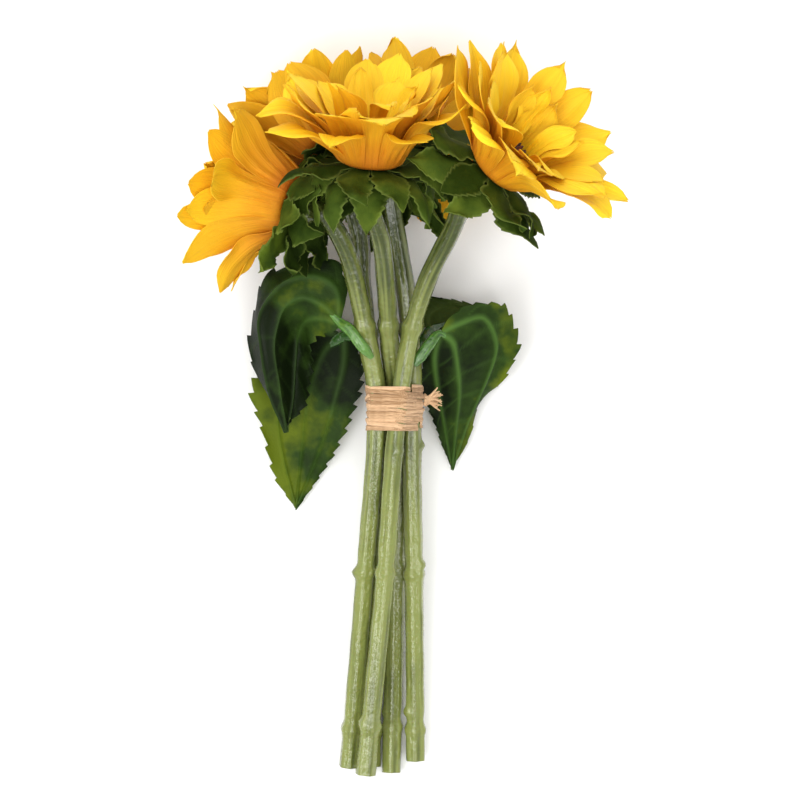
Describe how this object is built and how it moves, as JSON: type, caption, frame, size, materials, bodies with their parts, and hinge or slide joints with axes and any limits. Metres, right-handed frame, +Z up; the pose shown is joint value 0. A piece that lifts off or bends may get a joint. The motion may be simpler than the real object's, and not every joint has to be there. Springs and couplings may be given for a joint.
{
  "type": "bouquet",
  "caption": "Hand-tied bunch of fabric sunflowers with plastic stems, serrated leaves and a raffia tie, lying on its side.",
  "frame": {"origin": "middle of the footprint on the surface that the bouquet lies on", "axes": "+Y along the bunch from the cut stem ends to the flowers, +X to the right seen from above with the flowers away from the viewer, +Z up"},
  "size_m": [0.1966, 0.3319, 0.1454],
  "materials": {
    "petal": "crinkled woven polyester, yellow, orange towards the root",
    "petal_inner": "crinkled woven polyester, light yellow",
    "sepal": "woven polyester, printed olive green",
    "seed_disc": "flocked foam, dark reddish brown",
    "stem": "moulded polyethylene with lengthwise grooves, semi gloss",
    "leaf": "printed and embossed polyester, dark green with pale veins",
    "petiole": "moulded polyethylene, bright green",
    "raffia": "dry raffia strands, natural straw colour"
  },
  "bodies": {
    "root": {"front_stem": "stem", "front_seed_disc": "seed_disc", "front_sepals_lower": "sepal", "front_sepals_upper": "sepal", "front_petals_outer": "petal", "front_petals_middle": "petal", "front_petals_inner": "petal_inner", "right_stem": "stem", "right_seed_disc": "seed_disc", "right_sepals_lower": "sepal", "right_sepals_upper": "sepal", "right_petals_outer": "petal", "right_petals_middle": "petal", "right_petals_inner": "petal_inner", "left_stem": "stem", "left_seed_disc": "seed_disc", "left_sepals_lower": "sepal", "left_sepals_upper": "sepal", "left_petals_outer": "petal", "left_petals_middle": "petal", "left_petals_inner": "petal_inner", "upper_stem": "stem", "upper_seed_disc": "seed_disc", "upper_sepals_lower": "sepal", "upper_sepals_upper": "sepal", "upper_petals_outer": "petal", "upper_petals_middle": "petal", "upper_petals_inner": "petal_inner", "back_stem": "stem", "back_seed_disc": "seed_disc", "back_sepals_lower": "sepal", "back_sepals_upper": "sepal", "back_petals_outer": "petal", "back_petals_middle": "petal", "back_petals_inner": "petal_inner", "left_upper_leaf_blade": "leaf", "left_upper_leaf_petiole": "petiole", "left_lower_leaf_blade": "leaf", "left_lower_leaf_petiole": "petiole", "right_leaf_blade": "leaf", "right_leaf_petiole": "petiole", "behind_leaf_blade": "leaf", "behind_leaf_petiole": "petiole", "raffia_band": "raffia", "raffia_knot": "raffia"}
  },
  "joints": []
}
